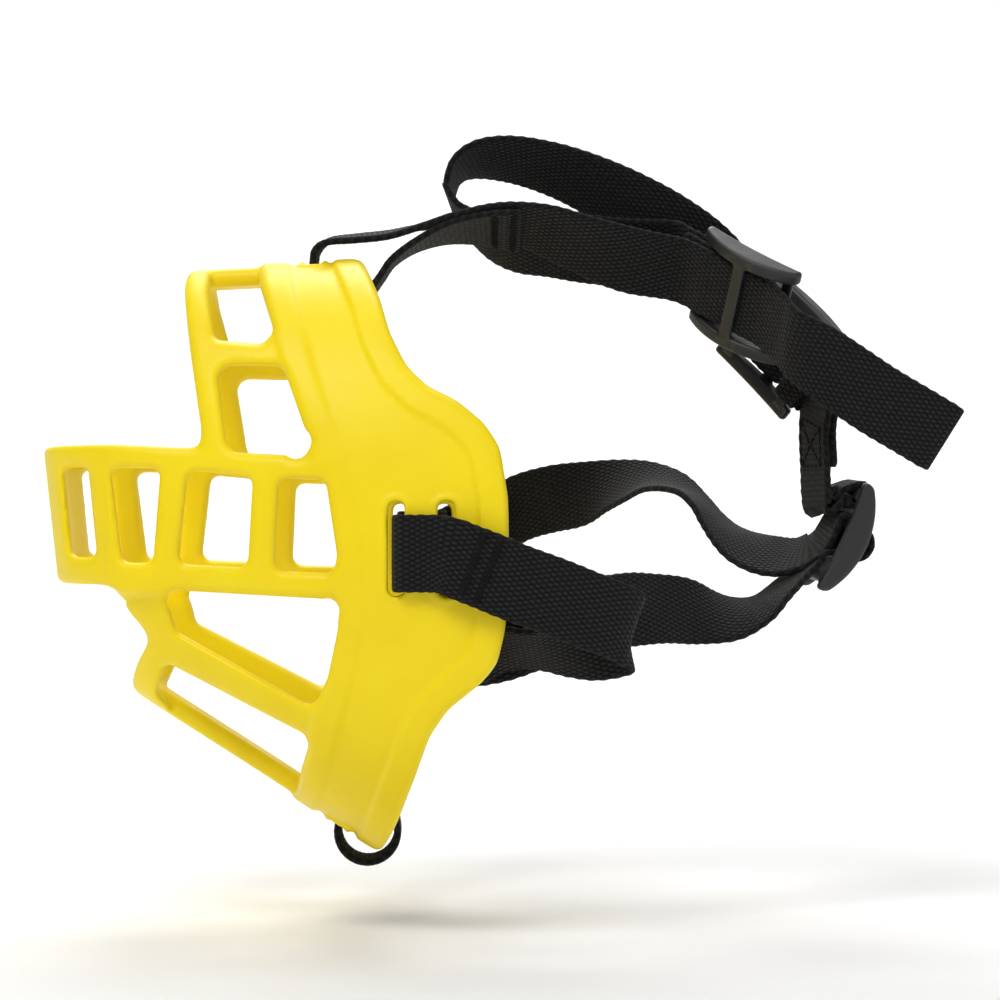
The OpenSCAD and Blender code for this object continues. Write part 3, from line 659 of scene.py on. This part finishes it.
def box_and_cross(strap, u, length, width, face):
    """A sewn rectangle with its diagonals."""
    corners = [(u - length / 2, -width / 2), (u + length / 2, -width / 2),
               (u + length / 2, width / 2), (u - length / 2, width / 2)]
    lines = [(corners[k], corners[(k + 1) % 4]) for k in range(4)]
    lines += [(corners[0], corners[2]), (corners[1], corners[3])]
    return [run for line in lines for run in stitch_line(strap, *line, face)]


def nearest_u(strap, place):
    """How far along the strap it comes nearest to a place."""
    return strap.u[np.argmin(np.linalg.norm(strap.place - np.array(place), axis=1))]


# ---------- materials ----------
class Shader:
    """A material's node tree, with short calls for its nodes."""

    def __init__(self, name, **settings):
        self.material = bpy.data.materials.new(name)
        self.material.use_nodes = True
        self.tree = self.material.node_tree
        self.shader = self.tree.nodes["Principled BSDF"]
        for key, value in settings.items():
            self.shader.inputs[key.replace("_", " ")].default_value = value

    def node(self, kind, settings=None, **inputs):
        """A new node. An input's name is its socket's, or i and the socket's number."""
        made = self.tree.nodes.new(kind)
        for key, value in (settings or {}).items():
            setattr(made, key, value)
        for key, value in inputs.items():
            self.join(made.inputs[int(key[1:]) if key[1:].isdigit() else key], value)
        return made

    def join(self, socket, value):
        if isinstance(value, bpy.types.NodeSocket):
            self.tree.links.new(value, socket)
        else:
            socket.default_value = value

    def math(self, operation, a, b=0.0):
        return self.node("ShaderNodeMath", {"operation": operation}, i0=a, i1=b).outputs[0]

    def noise(self, scale, detail):
        place = self.node("ShaderNodeTexCoord").outputs["Object"]
        return self.node("ShaderNodeTexNoise", Vector=place, Scale=scale, Detail=detail).outputs[0]

    def blend(self, factor, first, second):
        mix = self.node("ShaderNodeMix", {"data_type": "RGBA"}, i0=factor)
        mix.inputs[6].default_value = (*first, 1)
        mix.inputs[7].default_value = (*second, 1)
        return mix.outputs[2]

    def spread(self, value, low, high, to_low, to_high):
        """Maps a range of the value to another, and holds it there at both ends."""
        made = self.node("ShaderNodeMapRange", i0=value, i1=low, i2=high, i3=to_low, i4=to_high)
        return made.outputs[0]

    def bump(self, height, distance, strength=1.0, below=None):
        inputs = {"Height": height, "Distance": distance, "Strength": strength}
        if below is not None:
            inputs["Normal"] = below
        return self.node("ShaderNodeBump", **inputs).outputs[0]


def make_rubber():
    """Moulded yellow rubber: satin, with faint mottling and a very fine cast grain."""
    s = Shader("yellow_rubber", Subsurface_Weight=0.1, Subsurface_Scale=0.003, Specular_IOR_Level=0.3)
    s.shader.inputs["Subsurface Radius"].default_value = (1.0, 0.75, 0.1)
    cloud = s.noise(45.0, 4.0)
    grain = s.noise(2600.0, 2.0)
    s.join(s.shader.inputs["Base Color"], s.blend(s.spread(cloud, 0.35, 0.65, 0, 1),
                                                  (0.9, 0.68, 0.002), (0.95, 0.735, 0.003)))
    s.join(s.shader.inputs["Roughness"], s.spread(cloud, 0.3, 0.7, 0.4, 0.5))
    wave = s.bump(s.noise(140.0, 2.0), 0.0004, 0.25)
    s.join(s.shader.inputs["Normal"], s.bump(grain, 0.00005, 0.5, wave))
    return s.material


def make_webbing_material():
    """Black polyester weave: a painted highlight on its raised crossings and edge ribs, painted shade
    between them, with fine fibres.
    """
    s = Shader("black_webbing", Sheen_Weight=0.06, Sheen_Roughness=0.5, Specular_IOR_Level=0.25)
    along = s.node("ShaderNodeAttribute", {"attribute_name": "along"}).outputs["Fac"]
    across = s.node("ShaderNodeAttribute", {"attribute_name": "across"}).outputs["Fac"]
    edge = s.node("ShaderNodeAttribute", {"attribute_name": "edge"}).outputs["Fac"]
    below = s.math("GREATER_THAN", across, UNDERSIDE / 2)
    v = s.math("SUBTRACT", across, s.math("MULTIPLY", below, UNDERSIDE))
    shift = s.math("MULTIPLY", s.math("SUBTRACT", 0.5, below), PICK)
    ripple = s.math("SINE", s.math("MULTIPLY", s.math("ADD", along, shift), math.pi / PICK))
    column = s.math("SINE", s.math("MULTIPLY", v, math.pi / END))
    crossing = s.math("MULTIPLY", ripple, column)
    crossing = s.math("MULTIPLY", crossing, s.math("SUBTRACT", 1.0, edge))
    rib = s.math("MULTIPLY", s.math("SINE", s.math("MULTIPLY", along, math.pi / PICK)), edge)
    rib = s.math("MULTIPLY", rib, 0.35)
    crossing = s.math("ADD", crossing, rib)
    # the mask of the raised crossings and edge ribs, which carries the painted highlight and, where it
    # is low, the painted shade in the gaps
    raised = s.spread(crossing, -0.1, 0.85, 0.0, 1.0)
    fibre = s.math("SINE", s.math("MULTIPLY", s.math("ADD", along, s.math("MULTIPLY", v, 0.4)), 38.0))
    fuzz = s.noise(900.0, 3.0)
    # colour: painted shade in the gaps rising to a painted highlight on the crossings, varied at random
    # by the fuzz
    colour = s.blend(s.math("MULTIPLY", raised, s.spread(fuzz, 0.3, 0.7, 0.6, 1.0)),
                     (0.001, 0.001, 0.0012), (0.019, 0.019, 0.0205))
    s.join(s.shader.inputs["Base Color"], colour)
    s.join(s.shader.inputs["Roughness"], s.spread(raised, 0, 1, 0.9, 0.62))
    deep = s.bump(crossing, 0.00022, 0.8)
    fine = s.bump(s.math("ADD", fibre, s.math("MULTIPLY", fuzz, 3.0)), 0.00004, 0.6, deep)
    s.join(s.shader.inputs["Normal"], fine)
    return s.material


def make_plastic():
    """Moulded black plastic: matte, with fine texture, a painted highlight on its sharp edges, and those
    edges a little smoother.
    """
    s = Shader("slider_plastic", Specular_IOR_Level=0.5)
    cloud = s.noise(260.0, 3.0)
    grain = s.noise(3800.0, 2.0)
    # sharp edges from the mesh's pointiness: they get a painted highlight in the colour and a little
    # less roughness
    sharpness = s.node("ShaderNodeNewGeometry").outputs["Pointiness"]
    edge_highlight_and_smoothing = s.spread(sharpness, 0.5, 0.56, 0.0, 1.0)
    # painted highlight: the colour is lighter on sharp edges
    s.join(s.shader.inputs["Base Color"], s.blend(s.math("ADD", edge_highlight_and_smoothing, s.math("MULTIPLY", cloud, 0.3)),
                                                  (0.010, 0.0105, 0.0115), (0.02, 0.021, 0.023)))
    s.join(s.shader.inputs["Roughness"], s.math("SUBTRACT", s.spread(cloud, 0.3, 0.7, 0.42, 0.54),
                                                s.math("MULTIPLY", edge_highlight_and_smoothing, 0.08)))
    s.join(s.shader.inputs["Normal"], s.bump(grain, 0.00004, 0.55))
    return s.material


def make_thread_material():
    """Black sewing thread: a twist of fine fibres."""
    s = Shader("black_thread", Sheen_Weight=0.03, Specular_IOR_Level=0.2)
    fuzz = s.noise(1800.0, 3.0)
    twist = s.noise(5200.0, 2.0)
    s.join(s.shader.inputs["Base Color"], s.blend(fuzz, (0.0008, 0.0008, 0.001), (0.006, 0.006, 0.0065)))
    s.join(s.shader.inputs["Roughness"], s.spread(fuzz, 0.3, 0.7, 0.7, 0.9))
    s.join(s.shader.inputs["Normal"], s.bump(twist, 0.00006, 0.7))
    return s.material


rubber, webbing = make_rubber(), make_webbing_material()
plastic, thread = make_plastic(), make_thread_material()


# ---------- pieces ----------
def finish_piece(piece, material, nodes, body=None):
    """Gives a piece its material and lets it stand for CAD nodes. It rides on the body, if one is given."""
    piece.data.materials.append(material)
    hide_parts(*nodes)
    if body:
        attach(piece, body)
    return piece


finish_piece(make_basket(), rubber, ["basket"], "root")
make_slider("overhead_slider", OVERHEAD, "overhead_slider")
make_slider("loop_slider", LOOP, "root")
make_slider("neck_slider", NECK, "root")

overhead = Strap(OVERHEAD_ROUTE, WEB_W)
loop_out = Strap(LOOP_OUT_ROUTE, WEB_W)
loop_back = Strap(LOOP_BACK_ROUTE, WEB_W)
connector = Strap(CONNECTOR_ROUTE, WEB_W)
neck = Strap(NECK_ROUTE, WEB_W)

piece = finish_piece(make_webbing("overhead_webbing", overhead), webbing,
                     ["overhead_strap", "overhead_strap_tail"])
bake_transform(piece)

piece = finish_piece(make_webbing("loop_webbing_out", loop_out), webbing, ["loop_strap_end"])
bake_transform(piece)
finish_piece(make_webbing("loop_webbing_back", loop_back), webbing, ["loop_strap"], "root")
finish_piece(make_webbing("connector_webbing", connector), webbing, ["connector_strap"], "root")
finish_piece(make_webbing("neck_webbing", neck), webbing, ["neck_strap"], "root")


# ---------- chin loop ----------
CHIN_LOOP_AT = np.array([-1.2, 0, -57.5])
CHIN_LOOP_R = 6.2
LAP_START, LAP_ANGLE = 55, 50
LAP_RISE = 42              # the angle over which the tape rises onto its own start
CHIN_STEP = 8              # degrees from one row of the route to the next


def chin_route():
    """Once round and on over its own start, from the lap's near end."""
    rows = []
    for angle in range(LAP_START, LAP_START + 360 + LAP_ANGLE + 1, CHIN_STEP):
        past = smooth_step(np.array(angle), LAP_START + 360 - LAP_RISE, LAP_START + 360)
        r = CHIN_LOOP_R + past * (WEB_T + 0.02)
        turn = math.radians(angle)
        rows.append([*(CHIN_LOOP_AT + [r * math.cos(turn), 0, r * math.sin(turn)]), 0, 1, 0])
    return rows


chin = Strap(chin_route(), TAPE_W)
finish_piece(make_webbing("chin_loop_tape", chin), webbing, ["chin_loop"], "chin_loop")


# ---------- stitching ----------
OVERHEAD_SEAM = [27, -0.65, 67.35]
LOOP_END_SEAM = in_frame(OVERHEAD, -14.4, -3.15)[:3]
LOOP_SEAM = in_frame(LOOP, -5, 4.35)[:3]
CONNECTOR_SEAMS = [[93.5, 0.2, 22.5], [91.9, 0, 22.5]]
BOX_L, BOX_W = 9, 11
# A cheek's side, the height of its strap there, and the slope at which the strap leaves
CHEEKS = {"left_cheek": (-1, 0.4, -0.38), "right_cheek": (1, 1.3, 0.43)}
CHIN_SEAM = chin.length - 4.5

runs = bar_tacks(overhead, nearest_u(overhead, OVERHEAD_SEAM), 1.9)
finish_piece(make_thread("overhead_thread", runs), thread, ["overhead_stitching"], "root")
runs = bar_tacks(loop_out, nearest_u(loop_out, LOOP_END_SEAM), 1.9)
finish_piece(make_thread("loop_end_thread", runs), thread, ["loop_end_stitching"],
             "overhead_slider")
runs = bar_tacks(loop_back, nearest_u(loop_back, LOOP_SEAM), 1)
finish_piece(make_thread("loop_thread", runs), thread, ["loop_stitching"], "root")
runs = []
for seam in CONNECTOR_SEAMS:
    for face in (1, -1):
        runs += box_and_cross(connector, nearest_u(connector, seam), BOX_L, BOX_W, face)
finish_piece(make_thread("connector_thread", runs), thread, ["connector_stitching"], "root")
for cheek, (side, z, slope) in CHEEKS.items():
    u = nearest_u(neck, [21.6, side * 48.2, z + slope * 7.6])
    finish_piece(make_thread(cheek + "_thread", bar_tacks(neck, u, 1.6)), thread,
                 [cheek + "_stitching"], "root")
runs = bar_tacks(chin, CHIN_SEAM, 1.4, TAPE_W - 2, 1.2)
finish_piece(make_thread("chin_loop_thread", runs), thread, ["chin_loop_stitching"], "chin_loop")


# ---------- floor, light and camera ----------
def flat_material(name, colour):
    s = Shader(name, Roughness=0.9, Specular_IOR_Level=0.1)
    s.shader.inputs["Base Color"].default_value = (*colour, 1)
    return s.material


FLOOR_GAP = 12             # between the object's lowest point and the floor


def make_backdrop():
    """A pale floor under the object that curves up behind it."""
    floor_z = cad_box[0][2] / MM - FLOOR_GAP
    front, reach, radius, wide, tall = -1500, 900, 500, 3000, 2500
    profile = [(front, floor_z)]
    for k in range(13):
        turn = math.radians(90 * k / 12)
        profile.append((reach + radius * math.sin(turn), floor_z + radius * (1 - math.cos(turn))))
    profile.append((reach + radius, floor_z + tall))
    points = [[x, y, z] for y, z in profile for x in (-wide, wide)]
    faces = [[2 * k, 2 * k + 1, 2 * k + 3, 2 * k + 2] for k in range(len(profile) - 1)]
    backdrop = make_mesh("backdrop", points, faces)
    backdrop.data.materials.append(flat_material("pale_paper", (0.9, 0.9, 0.9)))


def add_light(name, place, aim, size, power):
    light = bpy.data.lights.new(name, "AREA")
    light.shape = "DISK"
    light.size = size
    light.energy = power
    lamp = bpy.data.objects.new(name, light)
    bpy.context.scene.collection.objects.link(lamp)
    point_at(lamp, place, aim)


def point_at(thing, place, aim):
    thing.location = place
    thing.rotation_euler = (Vector(aim) - Vector(place)).to_track_quat("-Z", "Y").to_euler()


def make_studio():
    world = bpy.data.worlds.new("studio")
    bpy.context.scene.world = world
    world.use_nodes = True
    world.node_tree.nodes["Background"].inputs["Color"].default_value = (1, 1, 1, 1)
    world.node_tree.nodes["Background"].inputs["Strength"].default_value = 0.3
    # The standard transform keeps the yellow as strong as the rubber is
    bpy.context.scene.view_settings.view_transform = "Standard"
    middle = (0.02, 0, 0.01)
    add_light("key", (-0.35, -0.7, 0.9), middle, 0.5, 7)
    add_light("fill", (0.8, -0.7, 0.35), middle, 0.8, 1.6)
    add_light("top", (0.0, 0.35, 1.0), middle, 0.7, 3.2)
    add_light("paper", (0.0, 1.0, 1.2), (0, 1.4, 0), 0.9, 12)


def make_camera():
    lens = bpy.data.cameras.new("camera")
    lens.lens = 103.7
    lens.sensor_width = 36
    camera = bpy.data.objects.new("camera", lens)
    bpy.context.scene.collection.objects.link(camera)
    point_at(camera, (0.01167, -0.6, 0.006875), (0.02625, 0, 0.01104))
    bpy.context.scene.camera = camera


make_backdrop()
make_studio()
make_camera()
